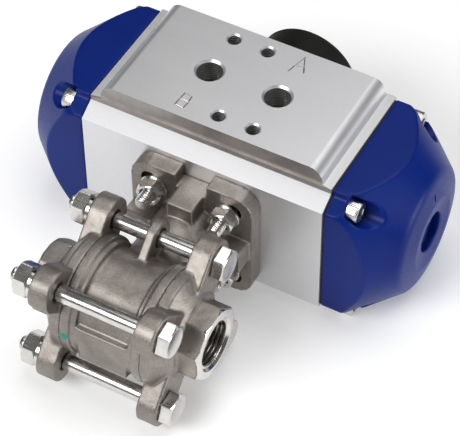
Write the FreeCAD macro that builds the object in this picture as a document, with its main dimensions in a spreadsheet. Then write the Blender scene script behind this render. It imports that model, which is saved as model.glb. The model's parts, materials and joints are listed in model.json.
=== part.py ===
import FreeCAD, Part
import math
import os
import Sketcher

# Pneumatic quarter-turn actuator on a three-piece threaded ball valve.
# Origin: centre of the ball. X runs along the pipe and along the actuator, Y runs along
# the stem from the valve into the actuator, and Z is up, normal to the air-port pad.

DIMENSIONS = {
    # actuator housing
    "housing_length": 84.4, "housing_front": 42.75, "housing_depth": 54.0,
    "cylinder_axis": 71.0,
    "housing_top": 28.3, "housing_bottom": 25.8,
    "bevel_depth": 5.8, "bevel_depth_back": 3.3, "bevel_rise": 3.4, "bevel_band": 1.8,
    "port_pad_rise": 5.5, "port_pad_length": 68.8, "port_pad_setback": 0.7, "port_pad_nose": 4.6,
    "cylinder_radius": 20.0,
    "port_spacing": 24.0, "port_thread_radius": 4.28, "port_depth": 9.0,
    "pad_hole_spacing": 32.0, "pad_hole_radius": 2.1, "pad_hole_depth": 7.0,
    "bracket_spacing_long": 50.0, "bracket_spacing_short": 25.0,
    # end covers
    "cover_length": 24.6, "cover_inset": 0.5, "gasket_thickness": 0.5,
    "dome_radius": 36.4, "dome_shoulder_radius": 34.9, "dome_shoulder": 49.2,
    "dome_end_radius": 20.6, "dome_end_slope": 65.6,
    "cover_cavity_radius": 19.0, "cover_cavity_depth": 8.0,
    "screw_offset_y": 21.5, "screw_offset_z": 22.0, "screw_seat": 48.1,
    "screw_pocket_radius": 4.2, "screw_head_radius": 3.5, "screw_head_height": 3.9,
    "screw_radius": 2.0, "screw_reach": 12.0,
    "end_recess_radius": 6.8, "end_recess_depth": 4.0,
    # rack and pinion
    "pitch_radius": 9.0, "gear_module": 1.0, "rack_width": 18.0, "rack_back": 16.0,
    "piston_radius": 19.92, "piston_face": 41.6, "piston_thickness": 8.0,
    "lower_journal_radius": 10.5, "upper_journal_radius": 8.0, "bush_wall": 1.2,
    "socket_flats": 9.1, "socket_depth": 12.0,
    # position indicator
    "indicator_radius": 17.6, "indicator_base": 99.6, "indicator_top": 117.7,
    # ball valve
    "ball_radius": 11.0, "flow_radius": 6.25, "chamber_radius": 11.4,
    "body_half": 13.95, "body_flange_radius": 19.2, "barrel_radius": 16.4,
    "bolt_offset": 16.4, "bolt_radius": 2.65, "lug_radius": 7.0, "lug_inner": 14.4,
    "lug_outer": 21.2, "end_half": 29.5, "octagon_flats": 23.0,
    "pipe_thread_radius": 7.475, "pipe_thread_depth": 11.0,
    "stem_radius": 5.5, "stem_flats": 9.0, "neck_radius": 11.5, "packing_radius": 8.0,
    "recess_radius": 9.7, "neck_front": 29.6, "arm_front": 30.6,
    "mount_pad_half": 21.3, "mount_pad_thickness": 5.7, "mount_pad_corner": 6.0,
    "rib_half_width": 4.5, "rib_top": 16.6, "notch_half_width": 5.4,
    "arm_reach": 20.4, "arm_half_height": 4.2, "ear_radius": 5.6, "ear_half_thickness": 1.6,
    "stud_circle_small": 36.0, "stud_circle_large": 42.0, "stud_slot_width": 5.6,
}

DOCUMENT = FreeCAD.newDocument("actuated_valve")
SHEET = DOCUMENT.addObject("Spreadsheet::Sheet", "dims")
for row, (alias, value) in enumerate(DIMENSIONS.items(), start=1):
    SHEET.set(f"A{row}", alias)
    SHEET.set(f"B{row}", str(value))
    SHEET.setAlias(f"B{row}", alias)
DOCUMENT.recompute()


class Size:
    """A number together with the spreadsheet expression that gives it."""

    def __init__(self, value, text):
        self.value = value
        self.text = text

    def __add__(self, other):
        return Size(self.value + number(other), f"({self.text} + {words(other)})")

    def __sub__(self, other):
        return Size(self.value - number(other), f"({self.text} - {words(other)})")

    def __mul__(self, other):
        return Size(self.value * number(other), f"({self.text} * {words(other)})")

    def __truediv__(self, other):
        return Size(self.value / number(other), f"({self.text} / {words(other)})")

    def __radd__(self, other):
        return Size(number(other) + self.value, f"({words(other)} + {self.text})")

    def __rsub__(self, other):
        return Size(number(other) - self.value, f"({words(other)} - {self.text})")

    def __rmul__(self, other):
        return self * other

    def __neg__(self):
        return Size(-self.value, f"(0 - {self.text})")


def number(size):
    return size.value if isinstance(size, Size) else float(size)


def words(size):
    return size.text if isinstance(size, Size) else f"({float(size)})"


def dim(alias):
    return Size(DIMENSIONS[alias], f"dims.{alias}")


def bind(item, path, size):
    """Ties one property or constraint of an object to the spreadsheet."""
    if isinstance(size, Size):
        item.setExpression(path, size.text)
    else:
        item.setExpression(path, repr(float(size)))


# ---- values that several pieces share ------------------------------------------------
ROOT_HALF = math.sqrt(0.5)
HALF_LENGTH = dim("housing_length") / 2
FRONT = dim("housing_front")
BACK = dim("housing_front") + dim("housing_depth")
MIDDLE = dim("cylinder_axis")
TOP = dim("housing_top")
BOTTOM = -dim("housing_bottom")
PORT_FACE = dim("housing_top") + dim("port_pad_rise")
COVER_START = HALF_LENGTH + dim("gasket_thickness")
COVER_END = COVER_START + dim("cover_length")
STUD = dim("stud_circle_small") * (ROOT_HALF / 2)
STUD_OUTER = dim("stud_circle_large") * (ROOT_HALF / 2)
BOLT = dim("bolt_offset")
TEETH = 18
RACK_GAPS = 12
PRESSURE_ANGLE = math.radians(20)
TOOTH_BACKLASH = 0.06
CORNERS = [(1, 1), (-1, 1), (-1, -1), (1, -1)]
PLANES = {"x": "YZ_Plane", "y": "XZ_Plane", "z": "XY_Plane"}
PARTS = []


def new_body(label):
    body = DOCUMENT.addObject("PartDesign::Body", label)
    body.Label = label
    return body


def keep(item, label=None):
    """Marks a finished object as one of the assembly's sub-parts."""
    if label:
        item.Label = label
    PARTS.append(item)
    return item


def new_sketch(body, axis, start=0.0, shift_y=0.0):
    """An empty sketch on the body's own origin plane, normal to axis, moved to start."""
    sketch = body.newObject("Sketcher::SketchObject", "outline")
    plane = [item for item in body.Origin.OriginFeatures if item.Role == PLANES[axis]][0]
    sketch.AttachmentSupport = [(plane, "")]
    sketch.MapMode = "FlatFace"
    offset = -start if axis == "y" else start
    bind(sketch, "AttachmentOffset.Base.z", offset)
    bind(sketch, "AttachmentOffset.Base.y", shift_y)
    return sketch


def draw_outline(sketch, points):
    """A closed polygon whose corners are each dimensioned from the origin."""
    first = sketch.GeometryCount
    count = len(points)
    corners = [FreeCAD.Vector(number(u), number(v), 0) for u, v in points]
    for i in range(count):
        sketch.addGeometry(Part.LineSegment(corners[i], corners[(i + 1) % count]), False)
    for i in range(count):
        follower = first + (i + 1) % count
        sketch.addConstraint(Sketcher.Constraint("Coincident", first + i, 2, follower, 1))
    for i, (u, v) in enumerate(points):
        for kind, size in (("DistanceX", u), ("DistanceY", v)):
            rule = Sketcher.Constraint(kind, -1, 1, first + i, 1, number(size))
            index = sketch.addConstraint(rule)
            if isinstance(size, Size):
                bind(sketch, f"Constraints[{index}]", size)


def draw_circle(sketch, centre, radius):
    u, v = centre
    middle = FreeCAD.Vector(number(u), number(v), 0)
    circle = Part.Circle(middle, FreeCAD.Vector(0, 0, 1), number(radius))
    geometry = sketch.addGeometry(circle, False)
    index = sketch.addConstraint(Sketcher.Constraint("Radius", geometry, number(radius)))
    bind(sketch, f"Constraints[{index}]", radius)
    for kind, size in (("DistanceX", u), ("DistanceY", v)):
        rule = Sketcher.Constraint(kind, -1, 1, geometry, 3, number(size))
        index = sketch.addConstraint(rule)
        if isinstance(size, Size):
            bind(sketch, f"Constraints[{index}]", size)


def extrude(body, sketch, axis, length, cut):
    """Adds or removes the sketch's section along the positive direction of axis."""
    kind = "PartDesign::Pocket" if cut else "PartDesign::Pad"
    feature = body.newObject(kind, "cut" if cut else "run")
    feature.Profile = sketch
    bind(feature, "Length", length)
    against_normal = axis == "y"
    feature.Reversed = (not against_normal) if cut else against_normal
    return feature


def prism(body, axis, outlines, start, end, cut=False):
    sketch = new_sketch(body, axis, start)
    for points in outlines:
        draw_outline(sketch, points)
    return extrude(body, sketch, axis, end - start, cut)


def rod(body, axis, centres, radius, start, end, cut=False):
    sketch = new_sketch(body, axis, start)
    for centre in centres:
        draw_circle(sketch, centre, radius)
    return extrude(body, sketch, axis, end - start, cut)


def turned(body, axis, points, shift_y=0.0, cut=False):
    """Revolves an outline about the X axis (along, radius) or the Y axis (radius, along)."""
    sketch = new_sketch(body, "z", 0.0, shift_y)
    draw_outline(sketch, points)
    kind = "PartDesign::Groove" if cut else "PartDesign::Revolution"
    feature = body.newObject(kind, "turned")
    feature.Profile = sketch
    feature.ReferenceAxis = (sketch, ["H_Axis" if axis == "x" else "V_Axis"])
    feature.Angle = 360
    return feature


def rectangle(u_low, u_high, v_low, v_high):
    return [(u_low, v_low), (u_high, v_low), (u_high, v_high), (u_low, v_high)]


def ring_outline(inner, outer, low, high):
    """Section (radius, along) of a plain ring about the Y axis."""
    return rectangle(inner, outer, low, high)


def edges_of(shape, accept):
    return [f"Edge{i}" for i, edge in enumerate(shape.Edges, start=1) if accept(edge)]


def round_edges(body, accept, radius, kind="PartDesign::Fillet"):
    DOCUMENT.recompute()
    base = body.Tip
    feature = body.newObject(kind, "dressed")
    feature.Base = (base, edges_of(base.Shape, accept))
    bind(feature, "Radius" if kind == "PartDesign::Fillet" else "Size", radius)
    return feature


def linked(source, place):
    """A link to a source body, moved to place."""
    link = DOCUMENT.addObject("App::Link", "copy")
    link.LinkedObject = source
    for name, size in zip("xyz", place):
        bind(link, f"Placement.Base.{name}", size)
    return link


def grouped(label, links):
    """One node made of several separate solids."""
    group = DOCUMENT.addObject("Part::Compound", label)
    group.Links = links
    return keep(group, label)


def copies(label, source, places):
    """One node of separate identical solids: links to the source at each place."""
    return grouped(label, [linked(source, place) for place in places])


def hexagon(across_flats, u=0.0, v=0.0, turn=0.0):
    """Corners of a regular hexagon; the first corner stands at the angle turn."""
    reach = across_flats / math.sqrt(3)
    angles = [math.radians(turn + 60 * i) for i in range(6)]
    return [(u + reach * math.cos(a), v + reach * math.sin(a)) for a in angles]


# ---- actuator housing ----------------------------------------------------------------
def housing_outline(inset):
    """Section (along Y, along Z) of the extrusion: a box with four bevelled long edges."""
    front = FRONT + inset
    back = BACK - inset
    top = TOP - inset
    bottom = BOTTOM + inset
    depth = dim("bevel_depth")
    depth_back = dim("bevel_depth_back")
    band = dim("bevel_band")
    rise = dim("bevel_rise") + band
    return [
        (front, bottom + rise), (front + depth, bottom + band), (front + depth, bottom),
        (back - depth_back, bottom), (back - depth_back, bottom + band), (back, bottom + rise),
        (back, top - rise), (back - depth_back, top - band), (back - depth_back, top),
        (front + depth, top), (front + depth, top - band), (front, top - rise),
    ]


def port_pad_outline():
    """Section (along X, along Z) of the raised pad with its rounded ends."""
    half = dim("port_pad_length") / 2
    nose = dim("port_pad_nose")
    rise = dim("port_pad_rise")
    steps = 6
    right = []
    for i in range(steps + 1):
        angle = math.radians(90 * (1 - i / steps))
        along = half + nose * math.cos(angle)
        height = TOP + rise * math.sin(angle)
        right.append((along, height))
    left = [(-along, height) for along, height in reversed(right)]
    base = TOP - 1.0
    return [(half + nose, base)] + right[::-1] + left[::-1] + [(-(half + nose), base)]


def actuator_housing():
    body = new_body("actuator_housing")
    prism(body, "x", [housing_outline(0.0)], -HALF_LENGTH, HALF_LENGTH)
    pad_front = FRONT + dim("bevel_depth") + dim("port_pad_setback")
    pad_back = BACK - dim("bevel_depth_back") - dim("port_pad_setback")
    prism(body, "y", [port_pad_outline()], pad_front, pad_back)
    bore = dim("cylinder_radius")
    rod(body, "x", [(MIDDLE, 0.0)], bore, -HALF_LENGTH, HALF_LENGTH, cut=True)
    lower = dim("lower_journal_radius") + dim("bush_wall")
    rod(body, "y", [(0.0, 0.0)], lower, FRONT, MIDDLE, cut=True)
    upper = dim("upper_journal_radius") + dim("bush_wall")
    rod(body, "y", [(0.0, 0.0)], upper, MIDDLE, BACK, cut=True)
    air_ports(body)
    mounting_holes(body)
    return keep(body)


def air_ports(body):
    """Two threaded ports, each opened into the bore by a narrow cross drilling."""
    half = dim("port_spacing") / 2
    centres = [(half, MIDDLE), (-half, MIDDLE)]
    thread = dim("port_thread_radius")
    rod(body, "z", centres, thread, PORT_FACE - dim("port_depth"), PORT_FACE, cut=True)
    rod(body, "z", centres, 1.5, 15.0, PORT_FACE - dim("port_depth") + 1.0, cut=True)


def mounting_holes(body):
    """Blind M5 holes of the port pad, the valve face and the accessory face; M4 for the covers."""
    hole = dim("pad_hole_radius")
    half = dim("pad_hole_spacing") / 2
    step = dim("port_spacing") / 2
    pattern = [(-step, MIDDLE + half), (0.0, MIDDLE + half), (0.0, MIDDLE - half), (step, MIDDLE - half)]
    rod(body, "z", pattern, hole, PORT_FACE - dim("pad_hole_depth"), PORT_FACE, cut=True)
    studs = [(STUD * i, STUD * j) for i, j in CORNERS]
    rod(body, "y", studs, hole, FRONT, FRONT + 8.0, cut=True)
    long_half = dim("bracket_spacing_long") / 2
    short_half = dim("bracket_spacing_short") / 2
    bracket = [(long_half * i, short_half * j) for i, j in CORNERS]
    rod(body, "y", bracket, hole, BACK - 7.0, BACK, cut=True)
    screws = [(MIDDLE + dim("screw_offset_y") * i, dim("screw_offset_z") * j) for i, j in CORNERS]
    depth = dim("screw_reach") + 1.0
    rod(body, "x", screws, 2.05, HALF_LENGTH - depth, HALF_LENGTH, cut=True)
    rod(body, "x", screws, 2.05, -HALF_LENGTH, depth - HALF_LENGTH, cut=True)


# ---- end covers ----------------------------------------------------------------------
def cover_dome():
    """Turned outer form of a cover: a cylinder, a cone and a nearly flat end."""
    dome = new_body("cover_dome")
    shoulder = dim("dome_shoulder")
    turned(dome, "x", [
        (COVER_START - 1.0, 0.0), (COVER_START - 1.0, dim("dome_radius")),
        (shoulder, dim("dome_shoulder_radius")), (dim("dome_end_slope"), dim("dome_end_radius")),
        (COVER_END, 12.5), (COVER_END - 0.7, dim("end_recess_radius")), (COVER_END - 0.7, 0.0)],
        shift_y=MIDDLE)
    shoulder_at = number(shoulder)
    slope_at = number(dim("dome_end_slope"))
    round_edges(dome, lambda e: is_circle_at(e, shoulder_at), 9.0)
    round_edges(dome, lambda e: is_circle_at(e, slope_at), 5.0)
    return dome


def is_circle_at(edge, along):
    is_circle = isinstance(edge.Curve, Part.Circle)
    return is_circle and abs(edge.Curve.Center.x - along) < 0.01 and edge.Curve.Radius > 12


def end_cover(side, dome):
    """A bevelled block trimmed by the dome, hollowed inside, with its four screw pockets."""
    block = new_body(f"cover_block_{side}")
    prism(block, "x", [housing_outline(dim("cover_inset"))], COVER_START, COVER_END + 1.0)
    cavity_end = COVER_START + dim("cover_cavity_depth")
    rod(block, "x", [(MIDDLE, 0.0)], dim("cover_cavity_radius"), COVER_START, cavity_end, cut=True)
    screws = [(MIDDLE + dim("screw_offset_y") * i, dim("screw_offset_z") * j) for i, j in CORNERS]
    pocket = dim("screw_pocket_radius")
    rod(block, "x", screws, pocket, dim("screw_seat"), COVER_END + 1.0, cut=True)
    mouths = [pocket_mouth(i, j) for i, j in CORNERS]
    for mouth in mouths:
        prism(block, "x", [mouth], dim("screw_seat"), COVER_END + 1.0, cut=True)
    rod(block, "x", screws, dim("screw_radius") + 0.2, COVER_START, dim("screw_seat"), cut=True)
    recess = dim("end_recess_radius")
    recess_start = COVER_END - dim("end_recess_depth")
    rod(block, "x", [(MIDDLE, 0.0)], recess, recess_start, COVER_END + 1.0, cut=True)
    cover = DOCUMENT.addObject("Part::Common", f"end_cover_{side}")
    cover.Base = block
    cover.Tool = dome
    return cover


def pocket_mouth(i, j):
    """Slot (along Y, along Z) that opens a screw pocket through the bevel beside it."""
    centre_y = MIDDLE + dim("screw_offset_y") * i
    centre_z = dim("screw_offset_z") * j
    rise = DIMENSIONS["bevel_rise"]
    depth = DIMENSIONS["bevel_depth"] if i < 0 else DIMENSIONS["bevel_depth_back"]
    slant = math.hypot(rise, depth)
    out_y, out_z = i * rise / slant, j * depth / slant
    along_y, along_z = i * depth / slant, -j * rise / slant
    half = dim("screw_head_radius") + 0.25
    reach = 12.0
    return [
        (centre_y + half * along_y, centre_z + half * along_z),
        (centre_y + half * along_y + reach * out_y, centre_z + half * along_z + reach * out_z),
        (centre_y - half * along_y + reach * out_y, centre_z - half * along_z + reach * out_z),
        (centre_y - half * along_y, centre_z - half * along_z),
    ]


def mirrored(source, label):
    """The same piece mirrored to the other end of the actuator or valve."""
    mirror = DOCUMENT.addObject("Part::Mirroring", label)
    mirror.Source = source
    mirror.Normal = FreeCAD.Vector(1, 0, 0)
    return keep(mirror, label)


def cover_gasket():
    body = new_body("cover_gasket_right")
    prism(body, "x", [housing_outline(0.8)], HALF_LENGTH, COVER_START)
    rod(body, "x", [(MIDDLE, 0.0)], 20.2, HALF_LENGTH, COVER_START, cut=True)
    screws = [(MIDDLE + dim("screw_offset_y") * i, dim("screw_offset_z") * j) for i, j in CORNERS]
    rod(body, "x", screws, 2.3, HALF_LENGTH, COVER_START, cut=True)
    return keep(body)


def cover_screws():
    """Eight socket-head cap screws, modelled once pointing each way along X."""
    places = [(0.0, MIDDLE + dim("screw_offset_y") * i, dim("screw_offset_z") * j) for i, j in CORNERS]
    links = []
    for side in (1, -1):
        screw = new_body(f"cap_screw_{'right' if side > 0 else 'left'}")
        seat = dim("screw_seat") * side
        outer = (dim("screw_seat") + dim("screw_head_height")) * side
        tip = (HALF_LENGTH - dim("screw_reach")) * side
        head = dim("screw_head_radius")
        shank = dim("screw_radius")
        turned(screw, "x", [(tip, 0.0), (tip, shank), (seat, shank), (seat, head),
                            (outer, head), (outer, 0.0)])
        start, end = (outer - 2.2, outer) if side > 0 else (outer, outer + 2.2)
        prism(screw, "x", [hexagon(3.0)], start, end, cut=True)
        links += [linked(screw, place) for place in places]
    return grouped("cover_screws", links)


# ---- pistons, racks and pinion -------------------------------------------------------
def rack_gap(centre, side):
    """One trapezoid tooth gap of a rack whose teeth point at the pinion's axis."""
    module = dim("gear_module")
    pitch_line = dim("pitch_radius")
    slope = math.tan(PRESSURE_ANGLE)
    half_gap = math.pi * number(module) / 4 + TOOTH_BACKLASH / 2
    deep = pitch_line + module * 1.25
    tip = pitch_line - module
    half_deep = half_gap - 1.25 * number(module) * slope
    half_tip = half_gap + (1.0 * number(module) + 0.4) * slope
    return [(centre - half_deep, side * deep), (centre + half_deep, side * deep),
            (centre + half_tip, side * (tip - 0.4)), (centre - half_tip, side * (tip - 0.4))]


def piston(side, rack_side):
    """Piston head with its seal groove and one rack arm; side +1 is the right piston."""
    name = "right" if side > 0 else "left"
    body = new_body(f"piston_{name}")
    face = dim("piston_face") * side
    inner = (dim("piston_face") - dim("piston_thickness")) * side
    radius = dim("piston_radius")
    groove_near = (dim("piston_face") - 2.6) * side
    groove_far = (dim("piston_face") - 5.2) * side
    turned(body, "x", [
        (inner, 0.0), (inner, radius), (groove_far, radius), (groove_far, radius - 2.4),
        (groove_near, radius - 2.4), (groove_near, radius), (face, radius), (face, 12.0),
        (face - 2.5 * side, 11.0), (face - 2.5 * side, 0.0)], shift_y=MIDDLE)
    half_width = dim("rack_width") / 2
    tip = dim("pitch_radius") - dim("gear_module")
    back = dim("rack_back")
    pitch = math.pi * DIMENSIONS["gear_module"]
    reach = -1.5 * pitch * side
    low, high = (reach, inner + 0.5) if side > 0 else (inner - 0.5, reach)
    arm = rectangle(low, high, rack_side * back, rack_side * tip)
    prism(body, "y", [arm], MIDDLE - half_width, MIDDLE + half_width)
    centres = [(i - 1.5) * pitch * side for i in range(RACK_GAPS)]
    gaps = [rack_gap(centre, rack_side) for centre in centres]
    prism(body, "y", gaps, MIDDLE - half_width - 1.0, MIDDLE + half_width + 1.0, cut=True)
    return keep(body)


def piston_guide(side, rack_side):
    """Low-friction pad on the back of a rack, ground to the cylinder's radius."""
    name = "right" if side > 0 else "left"
    block = new_body(f"guide_block_{name}")
    back = dim("rack_back")
    low, high = (-3.0, 25.0) if side > 0 else (-25.0, 3.0)
    section = rectangle(low, high, rack_side * back, rack_side * (back + 3.5))
    prism(block, "y", [section], MIDDLE - 7.5, MIDDLE + 7.5)
    round_bar = new_body(f"guide_round_{name}")
    rod(round_bar, "x", [(MIDDLE, 0.0)], dim("piston_radius") - 0.02, -60.0, 60.0)
    guide = DOCUMENT.addObject("Part::Common", f"piston_guide_{name}")
    guide.Base = block
    guide.Tool = round_bar
    return keep(guide, f"piston_guide_{name}")


def piston_ring(side):
    name = "right" if side > 0 else "left"
    body = new_body(f"piston_seal_{name}")
    outer = dim("piston_radius") + 0.02
    near = (dim("piston_face") - 2.8) * side
    far = (dim("piston_face") - 5.0) * side
    turned(body, "x", [(far, outer - 2.2), (far, outer - 0.4), (far + 0.4 * side, outer),
                       (near - 0.4 * side, outer), (near, outer - 0.4), (near, outer - 2.2)],
           shift_y=MIDDLE)
    return keep(body)


def tooth_gap_points():
    """Corner points of one involute tooth gap, centred on the +Z direction."""
    module = DIMENSIONS["gear_module"]
    pitch_radius = DIMENSIONS["pitch_radius"]
    base = pitch_radius * math.cos(PRESSURE_ANGLE)
    root = pitch_radius - 1.25 * module
    outside = pitch_radius + module + 0.6
    flank = math.tan(PRESSURE_ANGLE) - PRESSURE_ANGLE
    half_gap = math.pi / 2 / TEETH + TOOTH_BACKLASH / 2 / pitch_radius
    right = []
    steps = 9
    for i in range(steps):
        radius = base + (outside - base) * (i / (steps - 1)) ** 1.5
        roll = math.sqrt(max((radius / base) ** 2 - 1, 0.0))
        involute = roll - math.atan(roll)
        angle = half_gap + involute - flank
        right.append((radius * math.sin(angle), radius * math.cos(angle)))
    start_angle = half_gap - flank
    right.insert(0, (root * math.sin(start_angle), root * math.cos(start_angle)))
    left = [(-u, v) for u, v in reversed(right)]
    return right + left


def pinion():
    """Shaft with 18 teeth, a square socket for the valve stem and flats under the indicator."""
    body = new_body("pinion")
    outside = dim("pitch_radius") + dim("gear_module")
    lower = dim("lower_journal_radius")
    upper = dim("upper_journal_radius")
    start = FRONT + 0.2
    turned(body, "y", [
        (0.0, start), (lower, start), (lower, FRONT + 1.4), (lower - 1.8, FRONT + 1.4),
        (lower - 1.8, FRONT + 3.6), (lower, FRONT + 3.6), (lower, FRONT + 9.6),
        (outside, FRONT + 10.6), (outside, BACK - 11.6), (upper, BACK - 10.6),
        (upper, BACK - 3.6), (upper - 1.7, BACK - 3.6), (upper - 1.7, BACK - 1.4),
        (upper, BACK - 1.4), (upper, BACK + 1.0), (upper - 0.8, BACK + 1.0),
        (upper - 0.8, BACK + 2.1), (upper, BACK + 2.1), (upper, BACK + 3.4),
        (5.6, BACK + 3.4), (5.6, BACK + 12.0), (0.0, BACK + 12.0)])
    sketch = new_sketch(body, "y", FRONT + 10.6)
    draw_outline(sketch, tooth_gap_points())
    gap = extrude(body, sketch, "y", dim("housing_depth") - 22.2, cut=True)
    DOCUMENT.recompute()
    pattern = body.newObject("PartDesign::PolarPattern", "teeth")
    pattern.Originals = [gap]
    pattern.Axis = (sketch, ["N_Axis"])
    pattern.Angle = 360
    pattern.Occurrences = TEETH
    body.Tip = pattern
    half = dim("socket_flats") / 2
    socket = rectangle(-half, half, -half, half)
    prism(body, "y", [socket], FRONT, FRONT + dim("socket_depth"), cut=True)
    flat = rectangle(4.4, 7.0, -7.0, 7.0)
    other = rectangle(-7.0, -4.4, -7.0, 7.0)
    prism(body, "y", [flat, other], BACK + 3.4, BACK + 13.0, cut=True)
    rod(body, "y", [(0.0, 0.0)], 1.65, BACK + 3.0, BACK + 12.5, cut=True)
    return keep(body)


def simple_ring(label, inner, outer, low, high):
    body = new_body(label)
    turned(body, "y", ring_outline(inner, outer, low, high))
    return keep(body)


def pinion_supports():
    lower = dim("lower_journal_radius")
    upper = dim("upper_journal_radius")
    wall = dim("bush_wall")
    gap = 0.04
    simple_ring("pinion_bush_lower", lower + gap, lower + wall, FRONT + 4.2, FRONT + 9.2)
    simple_ring("pinion_bush_upper", upper + gap, upper + wall, BACK - 8.4, BACK - 4.0)
    seal_outer = lower + wall
    simple_ring("pinion_seal_lower", lower - 1.75, seal_outer - 0.02, FRONT + 1.5, FRONT + 3.5)
    simple_ring("pinion_seal_upper", upper - 1.65, upper + wall - 0.02, BACK - 3.5, BACK - 1.5)
    simple_ring("pinion_thrust_washer", upper + 0.1, upper + 3.4, BACK, BACK + 0.95)


def retaining_ring():
    """Open spring ring in the pinion's groove above the thrust washer."""
    body = new_body("pinion_retaining_ring")
    inner = dim("upper_journal_radius") - 0.75
    turned(body, "y", ring_outline(inner, dim("upper_journal_radius") + 2.4, BACK + 1.05, BACK + 2.05))
    gap = rectangle(-2.2, 2.2, 5.0, 14.0)
    prism(body, "y", [gap], BACK + 0.5, BACK + 3.0, cut=True)
    ears = [(3.2, 9.9), (-3.2, 9.9)]
    rod(body, "y", ears, 0.8, BACK + 0.5, BACK + 3.0, cut=True)
    return keep(body)


def position_indicator():
    """Round cap on the pinion's flats, with a raised pointer bar and a screw well."""
    body = new_body("position_indicator")
    radius = dim("indicator_radius")
    base = dim("indicator_base")
    top = dim("indicator_top")
    turned(body, "y", [
        (0.0, base + 3.0), (12.5, base + 3.0), (12.5, base), (radius, base),
        (radius, top - 1.2), (radius - 0.4, top - 0.4), (radius - 1.2, top), (radius - 3.0, top),
        (radius - 3.6, top - 2.0), (0.0, top - 2.0)])
    bar = rectangle(-(radius - 4.2), radius - 4.2, -3.4, 3.4)
    prism(body, "y", [bar], top - 3.0, top)
    rod(body, "y", [(0.0, 0.0)], 3.4, top - 4.0, top + 1.0, cut=True)
    rod(body, "y", [(0.0, 0.0)], 1.9, base, top, cut=True)
    seat = rectangle(-4.45, 4.45, -5.7, 5.7)
    prism(body, "y", [seat], base, BACK + 12.3, cut=True)
    return keep(body)


def indicator_screw():
    body = new_body("indicator_screw")
    head_under = dim("indicator_top") - 4.0
    turned(body, "y", [(0.0, head_under - 10.0), (1.6, head_under - 10.0), (1.6, head_under),
                       (3.2, head_under), (3.2, head_under + 1.4), (2.6, head_under + 2.0),
                       (0.0, head_under + 2.0)])
    slot = rectangle(-3.4, 3.4, -0.4, 0.4)
    prism(body, "y", [slot], head_under + 1.0, head_under + 2.4, cut=True)
    return keep(body)


# ---- ball valve ----------------------------------------------------------------------
def lug_web(centre_sign, half_width, reach):
    """A bar from the pipe axis to one bolt, in the (Y, Z) plane at 45 degrees."""
    i, j = centre_sign
    across = half_width * ROOT_HALF
    return [(-across * j, across * i), (across * j, -across * i),
            (reach * i + across * j, reach * j - across * i),
            (reach * i - across * j, reach * j + across * i)]


def rounded_square(half, corner):
    """Square with each corner rounded by four short chords, in any plane."""
    centre = half - corner
    points = []
    for i, j in CORNERS:
        arc = []
        for degrees in (0.0, 22.5, 45.0, 67.5, 90.0):
            angle = math.radians(degrees)
            arc.append(((centre + corner * math.cos(angle)) * i, (centre + corner * math.sin(angle)) * j))
        points += arc if i * j > 0 else arc[::-1]
    return points


def valve_body():
    """Centre casting: barrel, stem neck, actuator pad with ribs, and two bolt ears."""
    body = new_body("valve_body")
    half = dim("body_half")
    flange = dim("body_flange_radius")
    barrel = dim("barrel_radius")
    turned(body, "x", [
        (-half, 0.0), (-half, flange), (3.2 - half, flange), (3.2 - half, flange - 1.2),
        (5.0 - half, flange - 1.2), (5.0 - half, barrel), (half - 5.0, barrel),
        (half - 5.0, flange - 1.2), (half - 3.2, flange - 1.2), (half - 3.2, flange),
        (half, flange), (half, 0.0)])
    rod(body, "y", [(0.0, 0.0)], dim("neck_radius"), 6.0, FRONT)
    pad_half = dim("mount_pad_half")
    pad_front = FRONT - dim("mount_pad_thickness")
    prism(body, "y", [rounded_square(pad_half, dim("mount_pad_corner"))], pad_front, FRONT)
    rib = dim("rib_half_width")
    prism(body, "y", [rectangle(-rib, rib, -dim("rib_top"), dim("rib_top"))], dim("neck_front"), FRONT)
    arm = dim("arm_reach")
    arm_height = dim("arm_half_height")
    prism(body, "y", [rectangle(-arm, arm, -arm_height, arm_height)], dim("arm_front"), FRONT)
    ear = dim("ear_half_thickness")
    for j in (1, -1):
        prism(body, "x", [lug_web((1, j), dim("ear_radius"), BOLT)], -ear, ear)
        rod(body, "x", [(BOLT, BOLT * j)], dim("ear_radius"), -ear, ear)
    prism(body, "x", [rectangle(-(barrel + 1.5), -8.0, -9.5, 4.5)], 5.5 - half, half - 5.5)
    valve_body_cuts(body, pad_front)
    return keep(body)


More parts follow.
